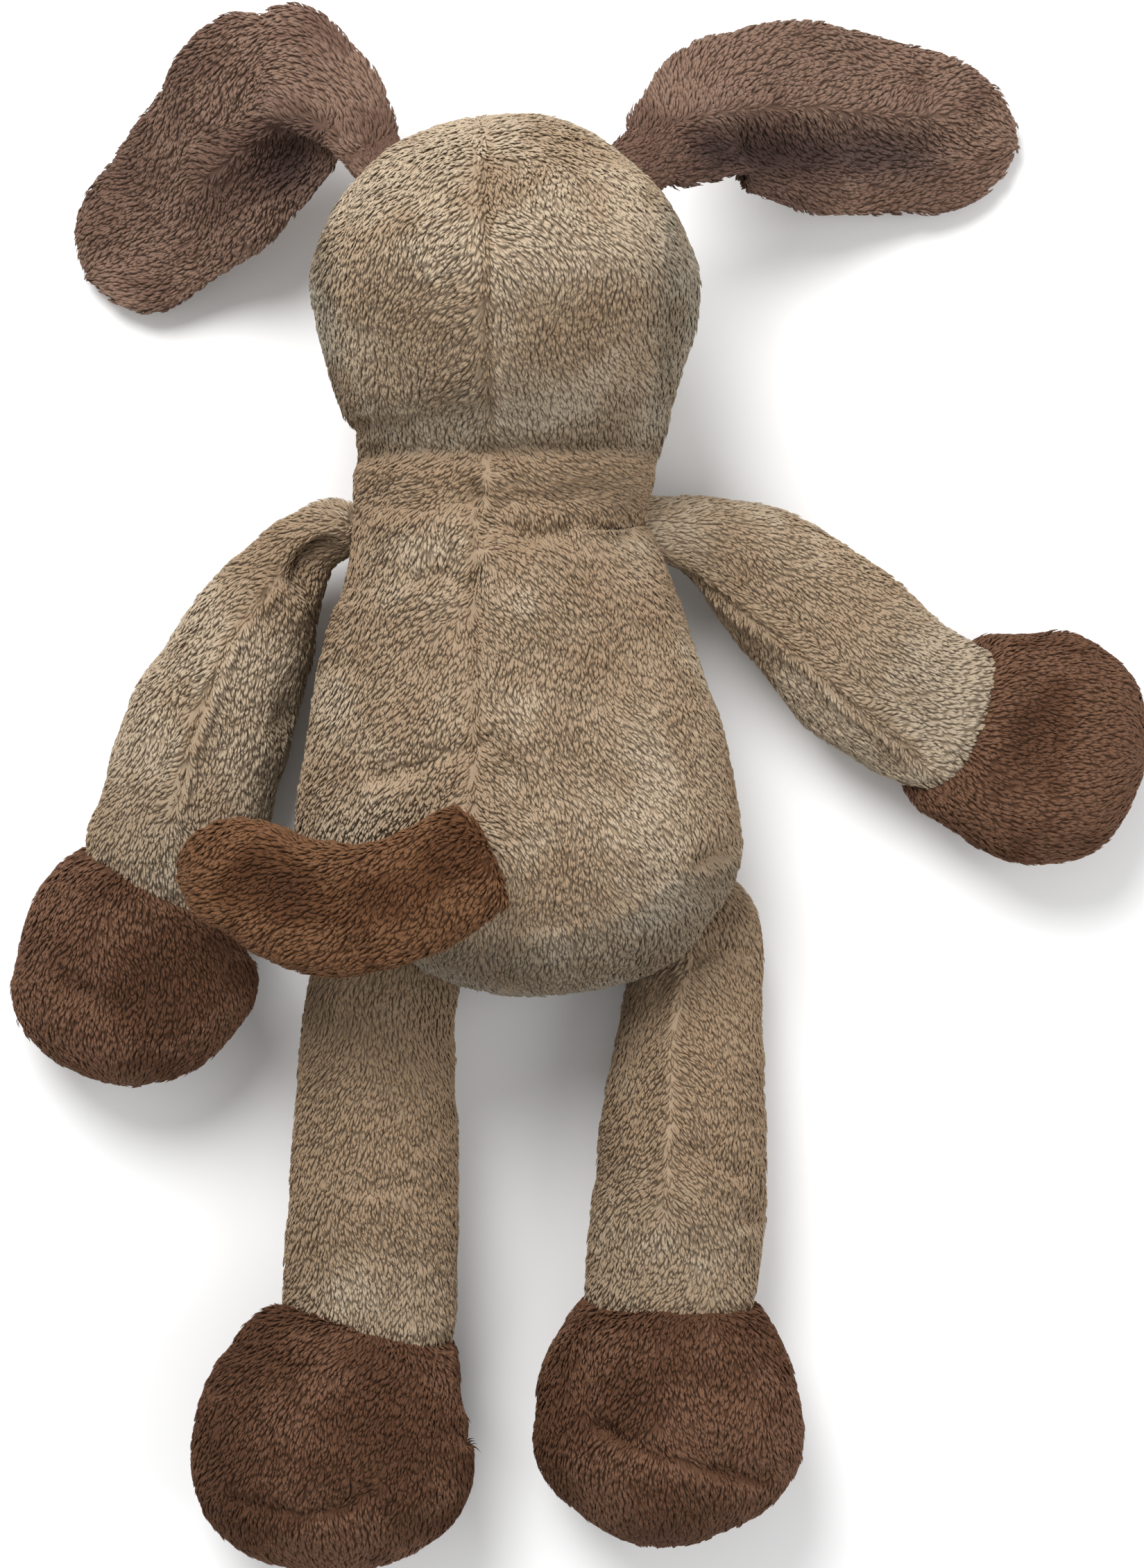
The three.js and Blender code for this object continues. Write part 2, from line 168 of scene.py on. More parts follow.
class Form:
    """An oval section that changes along a spine: stations are x, y, z, half width, half height."""

    def __init__(self, stations, round_start, round_end, upright=False):
        stations = np.array(stations, dtype=float)
        stations[:, 3:] = np.maximum(stations[:, 3:] - PILE_DEPTH, 1.5)
        count = len(stations)
        ends = [2 * stations[0] - stations[1]], stations, [2 * stations[-1] - stations[-2]]
        padded = np.concatenate(ends)
        t = np.linspace(0, count - 1 - 1e-9, 60 * (count - 1) + 1)
        i = t.astype(int)
        u = (t - i)[:, None]
        p0, p1, p2, p3 = (padded[i + k] for k in range(4))
        self.samples = 0.5 * (
            2 * p1 + (p2 - p0) * u + (2 * p0 - 5 * p1 + 4 * p2 - p3) * u**2
            + (3 * p1 - p0 - 3 * p2 + p3) * u**3
        )
        steps = np.linalg.norm(np.diff(self.samples[:, :3], axis=0), axis=1)
        self.distances = np.concatenate([[0], np.cumsum(steps)])
        self.length = self.distances[-1]
        self.marks = self.distances[:: 60]
        self.round_start = round_start
        self.round_end = round_end
        self.upright = upright

    def opening(self, distance):
        """How far the section is open, from almost 0 at a rounded end to 1."""
        start = np.clip(1 - distance / max(self.round_start, 1e-6), 0, 1)
        end = np.clip(1 - (self.length - distance) / max(self.round_end, 1e-6), 0, 1)
        return np.maximum(np.sqrt(1 - start**2) * np.sqrt(1 - end**2), 0.01)

    def sample(self, distance):
        columns = [np.interp(distance, self.distances, self.samples[:, k]) for k in range(5)]
        return np.stack(columns, axis=-1)

    def axes(self, distance):
        """The directions along, across and up at these distances."""
        step = 0.6
        ahead = self.sample(np.minimum(distance + step, self.length))[..., :3]
        behind = self.sample(np.maximum(distance - step, 0))[..., :3]
        tangent = unit(ahead - behind)
        side = unit(np.cross(tangent, [0.0, 0.0, 1.0]))
        up = np.broadcast_to([0.0, 0.0, 1.0], side.shape) if self.upright else np.cross(side, tangent)
        return tangent, side, up

    def surface(self, distance, angle, squareness=2.0):
        """Points at these distances and angles; squareness over 2 fills out the section's corners."""
        sample = self.sample(distance)
        _, side, up = self.axes(distance)
        power = 2.0 / squareness
        across = np.sign(np.cos(angle)) * np.abs(np.cos(angle)) ** power
        high = np.sign(np.sin(angle)) * np.abs(np.sin(angle)) ** power
        opening = self.opening(distance)
        wide = (sample[..., 3] * opening * across)[..., None]
        tall = (sample[..., 4] * opening * high)[..., None]
        return sample[..., :3] + side * wide + up * tall


def grid_normals(points):
    """Outward normals of a grid whose rows run along a form and whose columns run round it."""
    along = np.gradient(points, axis=0)
    around = np.roll(points, -1, axis=1) - np.roll(points, 1, axis=1)
    return unit(np.cross(along, around))


def settle(points, softness=1.2):
    """Rests the points on the surface below, with a soft edge to the contact patch."""
    z = points[..., 2]
    points[..., 2] = np.where(z < 4 * softness, softness * np.log1p(np.exp(z / softness)), z)
    return points


# ---------------------------------------------------------------- meshes


def mesh_object(name, vertices, faces, tone=None):
    """faces is a list of arrays, each with one row of corners per face. tone is a colour for each vertex."""
    mesh = bpy.data.meshes.new(name)
    vertices = (np.asarray(vertices) + SHIFT) * MM
    loops = np.concatenate([f.ravel() for f in faces]).astype(np.int32)
    sizes = np.concatenate([np.full(len(f), f.shape[1]) for f in faces])
    starts = np.concatenate([[0], np.cumsum(sizes)[:-1]]).astype(np.int32)
    mesh.vertices.add(len(vertices))
    mesh.vertices.foreach_set("co", vertices.astype(np.float32).ravel())
    mesh.loops.add(len(loops))
    mesh.loops.foreach_set("vertex_index", loops)
    mesh.polygons.add(len(sizes))
    mesh.polygons.foreach_set("loop_start", starts)
    mesh.update(calc_edges=True)
    mesh.polygons.foreach_set("use_smooth", np.full(len(sizes), True))
    mesh.validate()
    if tone is not None:
        attribute = mesh.color_attributes.new(name="tuft", type="FLOAT_COLOR", domain="POINT")
        attribute.data.foreach_set("color", np.asarray(tone, dtype=np.float32).ravel())
    piece = bpy.data.objects.new(name, mesh)
    bpy.context.scene.collection.objects.link(piece)
    return piece


def grid_faces(rows, columns):
    """Quads of a tube of this many rings, with a fan closing each end."""
    ring = np.arange(columns)
    after = (ring + 1) % columns
    quads = []
    for row in range(rows - 1):
        low, high = row * columns, (row + 1) * columns
        quads.append(np.stack([low + ring, high + ring, high + after, low + after], axis=1))
    first, last = rows * columns, rows * columns + 1
    top = (rows - 1) * columns
    fans = np.concatenate([
        np.stack([ring, after, np.full(columns, first)], axis=1),
        np.stack([top + after, top + ring, np.full(columns, last)], axis=1),
    ])
    return [np.concatenate(quads), fans]


def untinted(points):
    """How far each point turns to the cloth's darker, warmer tone and to its greyer one, from 0 to 1; both
    also carry painted shade.
    """
    return np.zeros(points.shape[:-1]), np.zeros(points.shape[:-1])


class Skin:
    """One closed fabric skin over part of a form, and what its pile needs to know."""

    def __init__(self, form, start, end, relief, spacing=1.6, squareness=2.0):
        widest = form.samples[:, 3].max() + form.samples[:, 4].max()
        columns = int(math.pi * widest / spacing / 2) * 2
        angle = np.linspace(0, 2 * math.pi, columns, endpoint=False)[None, :]
        first, last = (np.broadcast_to(f(angle) if callable(f) else f, angle.shape) for f in (start, end))
        rows = int((last - first).max() / spacing) + 2
        share = np.linspace(0, 1, rows)
        at_start = np.all(first <= 0.01) and form.round_start > 0
        at_end = np.all(last >= form.length - 0.01) and form.round_end > 0
        eased = share
        if at_start and at_end:
            eased = (share + (1 - np.cos(math.pi * share)) / 2) / 2
        elif at_end:
            eased = (share + np.sin(math.pi * share / 2)) / 2
        elif at_start:
            eased = (share + 1 - np.cos(math.pi * share / 2)) / 2
        distance = first + (last - first) * eased[:, None]
        angle = np.broadcast_to(angle, distance.shape)
        points = form.surface(distance, angle, squareness)
        normals = grid_normals(points)
        points = points + normals * relief(points, normals, distance, angle)[..., None]
        self.points = settle(points)
        self.normals = grid_normals(self.points)
        self.along = unit(np.gradient(self.points, axis=0))

    def object(self, name, tint):
        rows, columns, _ = self.points.shape
        ends = [self.points[0].mean(axis=0), self.points[-1].mean(axis=0)]
        vertices = np.concatenate([self.points.reshape(-1, 3), ends])
        tone = np.ones((len(vertices), 4))
        warmth_and_shade, grey_and_shade = tint(vertices)
        tone[:, 0] = SKIN_TONE + 0.05 * smooth(1.4, 0.5, vertices[:, 2])
        tone[:, 1] = 0.5 - warmth_and_shade
        tone[:, 2] = grey_and_shade
        return mesh_object(name, vertices, grid_faces(rows, columns), tone)

    def scatter(self, per_mm2):
        """Random places on the skin, evenly spread: points, normals and directions along it."""
        p = self.points
        nxt = np.roll(p, -1, axis=1)
        a, b, c, d = p[:-1], nxt[:-1], nxt[1:], p[1:]
        area = np.linalg.norm(np.cross(c - a, d - b), axis=-1) / 2
        count = np.floor(area * per_mm2 + rng.random(area.shape)).astype(int)
        row, column = np.nonzero(count)
        times = count[row, column]
        row, column = np.repeat(row, times), np.repeat(column, times)
        u, v = rng.random((2, len(row), 1))
        right = (column + 1) % p.shape[1]

        def mixed(field):
            low = field[row, column] * (1 - u) + field[row, right] * u
            high = field[row + 1, column] * (1 - u) + field[row + 1, right] * u
            return low * (1 - v) + high * v

        return mixed(self.points), unit(mixed(self.normals)), unit(mixed(self.along))


# ---------------------------------------------------------------- pile

PILE_LENGTH = 2.7
PILE_LEAN = 0.3  # radians that a tuft stands up from the cloth
TUFT_HALF_WIDTH = 0.37
TUFTS_PER_MM2 = 1.9
ROOT_DEPTH = 0.25  # a tuft starts this far under the skin
LOCK_SIZE = 1.5
GATHERING = 0.5  # how far a tuft's tip is drawn towards the middle of its lock
PIECE_TUFTS = 20000  # a pile is cut into pieces of at most this many tufts
CONTACT_HEIGHT = 0.8  # below this the cloth rests on the floor, with its pile pressed smooth


def dot(a, b):
    return np.sum(a * b, axis=-1, keepdims=True)


def locks(points, flow):
    """Which lock each tuft leans into: the nearest scattered place, counted nearer along the nap."""
    cell = np.floor(points / LOCK_SIZE)
    nearest = np.full(len(points), 1e9)
    owner = np.zeros(len(points), dtype=np.int64)
    for number in range(27):
        step = np.array([number % 3, number // 3 % 3, number // 9]) - 1
        near = cell + step
        jitter = np.stack([lattice(near, seed) for seed in (101, 102, 103)], axis=-1)
        gap = points - (near + 0.5 + 0.5 * jitter) * LOCK_SIZE
        distance = (dot(gap, gap) - 0.86 * dot(gap, flow) ** 2)[:, 0]
        whole = near.astype(np.int64) + 512
        key = (whole[:, 0] * 1024 + whole[:, 1]) * 1024 + whole[:, 2]
        owner = np.where(distance < nearest, key, owner)
        nearest = np.minimum(distance, nearest)
    return np.unique(owner, return_inverse=True)[1]


def pile(name, skins, nap, tint, length=PILE_LENGTH, bare=()):
    """Short plush pile: tapered tufts lying along the nap, their tips drawn together into small locks."""
    parts = [skin.scatter(TUFTS_PER_MM2) for skin in skins]
    root, normal, along = (np.concatenate([part[k] for part in parts]) for k in range(3))
    kept = root[:, 2] > CONTACT_HEIGHT
    root, normal, along = root[kept], normal[kept], along[kept]
    for centre, radius in bare:
        kept = np.linalg.norm(root - centre, axis=1) > radius
        root, normal, along = root[kept], normal[kept], along[kept]
    count = len(root)
    flow = nap(root, normal, along)
    flow = unit(flow - normal * dot(flow, normal))
    side = np.cross(normal, flow)
    drift = lumps(root, 13, 3)
    swirl = 0.55 * drift + 0.2 * lumps(root, 5, 5) + 0.09 * rng.standard_normal(count)
    flow = unit(flow * np.cos(swirl)[:, None] + side * np.sin(swirl)[:, None])
    side = np.cross(normal, flow)

    lock = locks(root, flow)
    lock_count = lock.max() + 1
    lock_tone, lock_rise, lock_length = rng.random((3, lock_count))[:, lock]
    rise = PILE_LEAN + 0.14 * lumps(root, 8, 8) + 0.22 * (lock_rise - 0.5) + 0.06 * rng.standard_normal(count)
    rise = np.clip(rise, 0.12, 1.3)[:, None]
    long = length * (1 + 0.35 * (lock_length - 0.5) + 0.08 * rng.standard_normal(count))[:, None]
    wide = TUFT_HALF_WIDTH * np.clip(1 + 0.2 * rng.standard_normal(count), 0.5, 1.6)[:, None]
    out = flow * np.cos(rise) + normal * np.sin(rise)
    start = root - normal * ROOT_DEPTH
    tip = start + out * long
    members = np.bincount(lock)
    gathered = np.stack([np.bincount(lock, tip[:, k]) / members for k in range(3)], axis=1)[lock]
    tip = tip + GATHERING * (gathered - tip)
    middle = (start + tip) / 2 + normal * 0.12 * long
    crown = unit(np.cross(out, side))
    crown = np.where(dot(crown, normal) < 0, -crown, crown)
    corners = [
        start - side * wide, start + side * wide, start + crown * wide * 0.5,
        middle - side * wide, middle + side * wide, middle + crown * wide * 0.6,
        tip,
    ]
    vertices = np.stack(corners, axis=1)
    pressed_flat = 0.05 + 0.45 * rng.random((count, 1))
    vertices[..., 2] = np.maximum(vertices[..., 2], pressed_flat)
    tone = np.ones((count, 7, 4))
    # Painted shade along each tuft: 0 at its root, where it takes the darker root colour, to 1 at its tip.
    tone[:, :, 0] = [0, 0, 0, 0.6, 0.6, 0.6, 1]
    warmth_and_shade, grey_and_shade = tint(root)
    each = 0.17 * lock_tone + 0.08 * rng.random(count) + 0.07 + 0.6 * (drift + 1) / 2
    tone[:, :, 1] = (each - warmth_and_shade)[:, None]
    tone[:, :, 2] = grey_and_shade[:, None]

    made = []
    sides = ([0, 3, 4, 1], [1, 4, 5, 2], [2, 5, 3, 0])
    ends = ([3, 6, 4], [4, 6, 5], [5, 6, 3])
    cuts = np.array_split(np.arange(count), math.ceil(count / PIECE_TUFTS))
    for number, cut in enumerate(cuts):
        base = (np.arange(len(cut)) * 7)[:, None]
        quads = np.concatenate([base + np.array(corner) for corner in sides])
        triangles = np.concatenate([base + np.array(corner) for corner in ends])
        piece_name = name if len(cuts) == 1 else f"{name}_{number + 1}"
        made.append(mesh_object(
            piece_name, vertices[cut].reshape(-1, 3), [quads, triangles], tone[cut].reshape(-1, 4)))
    return made


# ---------------------------------------------------------------- materials

class Nodes:
    """Short names for building a procedural material."""

    def __init__(self, name):
        self.material = bpy.data.materials.new(name)
        self.material.use_nodes = True
        tree = self.material.node_tree
        self.nodes, self.links = tree.nodes, tree.links
        self.shader = tree.nodes["Principled BSDF"]
        self.where = tree.nodes.new("ShaderNodeTexCoord").outputs["Object"]

    def put(self, socket, value):
        if isinstance(value, bpy.types.NodeSocket):
            self.links.new(value, socket)
        else:
            socket.default_value = value

    def noise(self, size_mm, detail):
        texture = self.nodes.new("ShaderNodeTexNoise")
        texture.inputs["Scale"].default_value = 1 / (size_mm * MM)
        texture.inputs["Detail"].default_value = detail
        self.links.new(self.where, texture.inputs["Vector"])
        return texture.outputs["Fac"]

    def maths(self, operation, first, second):
        node = self.nodes.new("ShaderNodeMath")
        node.operation = operation
        self.put(node.inputs[0], first)
        self.put(node.inputs[1], second)
        return node.outputs["Value"]

    def mix(self, share, first, second, blend="MIX"):
        node = self.nodes.new("ShaderNodeMix")
        node.data_type = "RGBA"
        node.blend_type = blend
        self.put(node.inputs["Factor"], share)
        self.put(node.inputs["A"], first if isinstance(first, bpy.types.NodeSocket) else (*first, 1))
        self.put(node.inputs["B"], second if isinstance(second, bpy.types.NodeSocket) else (*second, 1))
        return node.outputs["Result"]

    def ramp(self, value, stops):
        node = self.nodes.new("ShaderNodeValToRGB")
        elements = node.color_ramp.elements
        elements[0].position, elements[1].position = stops[0][0], stops[-1][0]
        for position, _ in stops[1:-1]:
            elements.new(position)
        for element, (_, colour) in zip(elements, stops):
            element.color = (*colour, 1)
        self.links.new(value, node.inputs["Fac"])
        return node.outputs["Color"]

    def bump(self, height, strength, distance_mm):
        node = self.nodes.new("ShaderNodeBump")
        node.inputs["Strength"].default_value = strength
        node.inputs["Distance"].default_value = distance_mm * MM
        self.links.new(height, node.inputs["Height"])
        self.links.new(node.outputs["Normal"], self.shader.inputs["Normal"])


def plush_material(name, root, dark, middle, light, shade):
    """Short pile: patches of tone, speckle from lock to lock, roots painted darker as shade deep in the pile,
    greyer parts that also hold painted shade, and a soft sheen.
    """
    make = Nodes(name)
    make.shader.inputs["Specular IOR Level"].default_value = 0.15
    make.shader.inputs["Sheen Weight"].default_value = 0.15
    make.shader.inputs["Sheen Roughness"].default_value = 0.5
    make.shader.inputs["Sheen Tint"].default_value = (*light, 1)
    tuft = make.nodes.new("ShaderNodeAttribute")
    tuft.attribute_name = "tuft"
    split = make.nodes.new("ShaderNodeSeparateColor")
    make.links.new(tuft.outputs["Color"], split.inputs["Color"])
    tip, each, grey_and_shade = (split.outputs[channel] for channel in ("Red", "Green", "Blue"))

    patches = make.noise(26, 2)
    speckle = make.maths("MULTIPLY", make.noise(7, 2), 0.35)
    tone = make.maths("ADD", make.maths("ADD", patches, speckle), make.maths("MULTIPLY", each, 0.4))
    colour = make.ramp(tone, [(0.62, dark), (0.88, middle), (1.1, light)])
    # Painted shade: towards a tuft's root the colour turns to the darker root colour.
    colour = make.mix(make.maths("POWER", tip, 0.8), root, colour)
    # The third channel multiplies in the shade colour: greyer cloth, and painted shade in hollows and on
    # parts that turn away from the light.
    colour = make.mix(grey_and_shade, colour, shade, "MULTIPLY")
    make.put(make.shader.inputs["Base Color"], colour)
    rough = make.maths("ADD", make.maths("MULTIPLY", make.noise(5, 2), 0.2), 0.78)
    make.put(make.shader.inputs["Roughness"], rough)
    return make.material


# Each pile's colours: root, painted darker as shade deep in the pile; dark, middle and light tones; and the
# shade colour, for greyer cloth and painted shade.
BEIGE = plush_material(
    "beige_pile", (0.33, 0.245, 0.165), (0.275, 0.183, 0.11), (0.365, 0.27, 0.179), (0.475, 0.384, 0.277),
    (0.70, 0.745, 0.79))
BROWN = plush_material(
    "brown_pile", (0.08, 0.037, 0.02), (0.075, 0.033, 0.0165), (0.113, 0.053, 0.0285), (0.18, 0.094, 0.056),
    (0.62, 0.6, 0.62))
EAR_BROWN = plush_material(
    "ear_pile", (0.115, 0.067, 0.048), (0.12, 0.068, 0.049), (0.176, 0.104, 0.074), (0.26, 0.165, 0.119),
    (0.4, 0.4, 0.47))
TAIL_BROWN = plush_material(
    "tail_pile", (0.075, 0.031, 0.0133), (0.066, 0.0265, 0.011), (0.122, 0.053, 0.0225), (0.2, 0.099, 0.048),
    (0.62, 0.6, 0.62))


def moulded_material(name, dark, light, roughness, dents_mm):
    """Moulded plastic: faint clouding and a very fine grain under the gloss."""
    make = Nodes(name)
    colour = make.ramp(make.noise(9, 3), [(0.3, dark), (0.7, light)])
    make.put(make.shader.inputs["Base Color"], colour)
    shine = make.maths("ADD", make.maths("MULTIPLY", make.noise(3, 4), 0.12), roughness)
    make.put(make.shader.inputs["Roughness"], shine)
    make.bump(make.noise(0.8, 3), 0.15, dents_mm)
    return make.material


GLOSS_BLACK = moulded_material("gloss_black", (0.006, 0.005, 0.005), (0.016, 0.013, 0.012), 0.12, 0.05)
WHITE_PLASTIC = moulded_material("white_plastic", (0.72, 0.71, 0.68), (0.82, 0.81, 0.79), 0.42, 0.1)


# ---------------------------------------------------------------- covering a soft part

def combed(base, partings=(), whorls=()):
    """A nap that follows base, parted along seams (path, strength, reach) and fanned out at whorls."""
    def nap(root, normal, along):
        flow = base(root, along)
        for path, strength, reach in partings:
            gap, _, away = path_distance(root, path)
            push = strength * np.exp(-((gap / reach) ** 2))
            flow[:, :2] += away * push[:, None]
        for centre, reach in whorls:
            offset = root[:, :2] - np.array(centre)
            gap = np.linalg.norm(offset, axis=1)
            fan = 1.8 * np.exp(-((gap / reach) ** 2)) / (gap + 3)
            flow[:, :2] += offset * fan[:, None]
        return flow
    return nap


def with_the_form(root, along):
    """The nap runs from a form's start to its end."""
    return along.copy()


def finish_piece(piece, material):
    """Gives a piece its material."""
    piece.data.materials.append(material)


def cover(name, skins, nap, material, slot, body, nodes, fill, tint=untinted, **options):
    """Gives a soft part its fabric skins and its pile, all riding on the body that the part belongs to."""
    for number, skin in enumerate(skins):
        piece = skin.object(f"{name}_skin" if len(skins) == 1 else f"{name}_skin_{number + 1}", tint)
        finish_piece(piece, material)
        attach(piece, body)
    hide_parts(*nodes)
    for tufts in pile(f"{name}_pile", skins, nap, tint, **options):
        finish_piece(tufts, material)
        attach(tufts, body)


def cover_joint(name, sleeve, piled, nap, material, slot, fill, tint=untinted, **options):
    """A joint's own skin and pile, which stand for no CAD part. Returns them, still without a body."""
    pieces = [sleeve.object(f"{name}_sleeve", tint)]
    pieces += pile(f"{name}_pile", [piled], nap, tint, **options)
    for piece in pieces:
        finish_piece(piece, material)
    return pieces


def make_sleeve(name, stations, material, slot):
    """A short sleeve of cloth inside the root of a limb or an ear."""
    form = Form(stations, 6, 4)

    def relief(points, normals, distance, angle):
        return 0.4 * lumps(points, 9, 73)
    skin = Skin(form, 0, form.length, relief)
    for piece in cover_joint(name, skin, skin, combed(with_the_form), material, slot, 0.6, length=1.8):
        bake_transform(piece)


# ---------------------------------------------------------------- head, neck and torso

BODY = Form([
    [-15, -47.5, 33, 46, 33],
    [-13, -29, 33.5, 50.5, 35],
    [-12.5, -8, 33.5, 52, 35.5],
    [-14, 20, 33.5, 46.5, 35],
    [-16.5, 44, 34, 39, 34],
    [-18.5, 57, 34.5, 34.5, 32.5],
    [-16.5, 69, 35.5, 34.5, 32],
    [-15, 79, 40, 36, 34.5],
    [-15, 89, 46, 39.5, 39],
    [-15.5, 110, 57, 43.5, 43.5],
    [-15.5, 127, 57, 43.5, 43.5],
    [-15.5, 149, 57, 42, 42],
], 34, 39, upright=True)
NECK_SEAM_Y = 73.5
SLEEVE_LOW = 60
SLEEVE_HIGH = 88
SLEEVE_LAP = 6

BACK_SEAM = [[-21.5, 70], [-21.5, 57], [-22, 34], [-21.5, 18], [-22, -2], [-22, -12]]
CROWN_SEAM = [[-18.5, 142], [-18.5, 120], [-18.5, 95], [-18, 77]]
SIDE_SEAMS = [
    [[-50, 140], [-51.5, 112], [-49, 90], [-45, 78]],
    [[17, 140], [17.5, 112], [15, 90], [12, 78]],
]
COLLAR = [[-49, 66], [-36, 63], [-21, 62], [-4, 63.5], [10, 66]]
HIP_SEAM = [[26, -18], [33, -15.6], [42, -14]]
BACK_FOLDS = [
    [[-22, 10], [-33, 4], [-46, 1]],
    [[-21, 12], [-12, 2], [-8, -8]],
    [[-22, 43], [-30, 47], [-38, 46]],
    [[-21, 58], [-8, 55], [2, 56]],
]


def body_distance(y):
    """How far along the body's spine this height on the page is."""
    return np.interp(y, BODY.samples[:, 1], BODY.distances)


def seat_line(x):
    """Where the back panels end and the seat gusset starts, seen from above."""
    return np.interp(x, [-50, -20, -3, 10, 23, 31, 42], [-30, -33, -31, -27, -18, -15.6, -14])


def body_relief(points, normals, distance, angle):
    top = facing_up(normals)
    y = points[..., 1]
    x = points[..., 0]
    depth = 1.1 * lumps(points, 26, 31) + 0.7 * lumps(points, 13, 32)
    pucker = 1 + 0.4 * lumps(points, 6, 13)
    seam = np.exp(-(((y - NECK_SEAM_Y - 0.9 * np.sin(x / 9)) / 2.4) ** 2))
    depth -= (0.6 + 1.4 * top) * pucker * seam
    depth += 0.6 * top * np.exp(-(((y - 68.5) / 3.5) ** 2))
    depth += top * ridge(points, COLLAR, -1.4, 2.6)
    depth += top * (ridge(points, BACK_SEAM, -1.6, 1.8) + ridge(points, BACK_SEAM, -1.6, 7))
    depth += top * ridge(points, CROWN_SEAM, -1.3, 1.8)
    for seam in SIDE_SEAMS:
        depth += top * ridge(points, seam, -1.0, 2.0)
    depth += top * ridge(points, HIP_SEAM, -2.2, 2.0)
    for fold in BACK_FOLDS:
        depth += top * ridge(points, fold, -2.2, 3)
    gusset = [[at, seat_line(at)] for at in range(-46, 27, 6)]
    depth += top * ridge(points, gusset, -0.5, 1.8)
    depth += dent(points, (-18, 70.5, 68), 2.0, 3.5) - dent(points, (-17.5, 66.5, 68), 2.2, 3.0)
    depth += dent(points, (-52, 57, 34), 3, 9)
    depth += dent(points, (-32, 28, 70), 2.0, 12) - dent(points, (-8, 42, 70), 2.2, 13)
    depth -= dent(points, (-33, 52, 68), 1.8, 10)
    return depth


def body_tint(points):
    """The neck band is painted darker and warmer, as shade in the dip between head and back, and the lower
    head is painted greyer, as shade where it slopes down to the neck. The side strips of the head and the
    seat gusset are greyer: partly a greyer run of the cloth, partly painted shade where they turn down away
    from the light.
    """
    x, y = points[..., 0], points[..., 1]
    # The side strips of the head: partly a greyer run of the cloth, partly painted shade where they turn down
    # away from the light.
    strips = smooth(15, 21, x) + smooth(-49, -55, x)
    strips = strips * smooth(76, 86, y)
    # Painted shade on the lower head, where it slopes down to the neck.
    shade_below_head = 0.7 * smooth(96, 80, y) * smooth(73, 76, y)
    # The seat gusset: partly a greyer run of the cloth, partly painted shade where it turns under, away from
    # the light.
    seat = smooth(-1, 4, seat_line(x) - y)
    edge = y + 1.5 * np.sin(x / 9) + 2.0 * lumps(points, 11, 33)
    # Painted shade: the neck band is darker and warmer where it lies in the dip between head and back.
    warmth_and_shade = smooth(55, 66, edge) * smooth(80, 72, edge) + 0.35 * smooth(20, 45, y) * smooth(66, 60, y)
    warmth_and_shade = warmth_and_shade - 0.15 * smooth(76, 82, y) + 0.05 * smooth(20, 0, y)
    up = smooth(40, 50, points[..., 2])
    warmth_and_shade = warmth_and_shade + 0.8 * up * seam_shade(points, [BACK_SEAM, CROWN_SEAM, HIP_SEAM])
    return warmth_and_shade, np.clip(strips + shade_below_head + seat, 0, 1)


def down_the_back(root, along):
    """Down the page, turning sideways in the bunched band under the neck seam."""
    flow = np.zeros(root.shape)
    flow[:, 1] = -1
    band = smooth(60, 65, root[:, 1]) * smooth(76, 73, root[:, 1])
    flow[:, 0] = 0.25 * np.sign(root[:, 0] + 21) + 2.2 * band * np.sign(root[:, 0] + 19)
    flow[:, 2] = -0.2
    return flow


def make_torso():
    skin = Skin(BODY, 0, body_distance(SLEEVE_LOW + SLEEVE_LAP), body_relief)
    nap = combed(down_the_back, [(BACK_SEAM, 0.9, 6)], [((-17.8, 50), 9), ((-26, 35.5), 9)])
    nodes = ["back_left_panel", "back_right_panel", "belly_panel", "seat_gusset", "torso_stuffing",
             "seat_bean_bag"]
    cover("torso", [skin], nap, BEIGE, "beige_plush", "torso", nodes, 0.7, body_tint)


def make_neck():
    """One sleeve over the neck. Its ends tuck under the skins that it joins."""
    low, high = body_distance(SLEEVE_LOW), body_distance(SLEEVE_HIGH)

    def relief(points, normals, distance, angle):
        tuck = 1 - smooth(low, low + SLEEVE_LAP, distance) * smooth(high, high - SLEEVE_LAP, distance)
        return body_relief(points, normals, distance, angle) - 2.0 * tuck
    sleeve = Skin(BODY, low, high, relief)
    middle = Skin(BODY, low + SLEEVE_LAP - 1, high - SLEEVE_LAP + 1, body_relief)
    nap = combed(down_the_back, [(CROWN_SEAM, 0.5, 5)], [((-17.8, 67), 5)])
    for piece in cover_joint("neck", sleeve, middle, nap, BEIGE, "beige_plush", 0.7, body_tint):
        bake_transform(piece)


def bare_spot(node):
    """The middle and radius of a CAD node that no pile covers."""
    low, high = (np.array(corner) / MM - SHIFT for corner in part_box(node))
    return (low + high) / 2, (high - low).max() / 2 + 1.2


def make_head():
    skin = Skin(BODY, body_distance(SLEEVE_HIGH - SLEEVE_LAP), BODY.length, body_relief)
    nap = combed(down_the_back, [(CROWN_SEAM, 0.6, 7)])
    nodes = ["head_left_panel", "head_right_panel", "face_left_panel", "face_right_panel", "head_stuffing"]
    cover("head", [skin], nap, BEIGE, "beige_plush", "head", nodes, 0.9, body_tint,
          bare=[bare_spot("left_eye"), bare_spot("right_eye")])


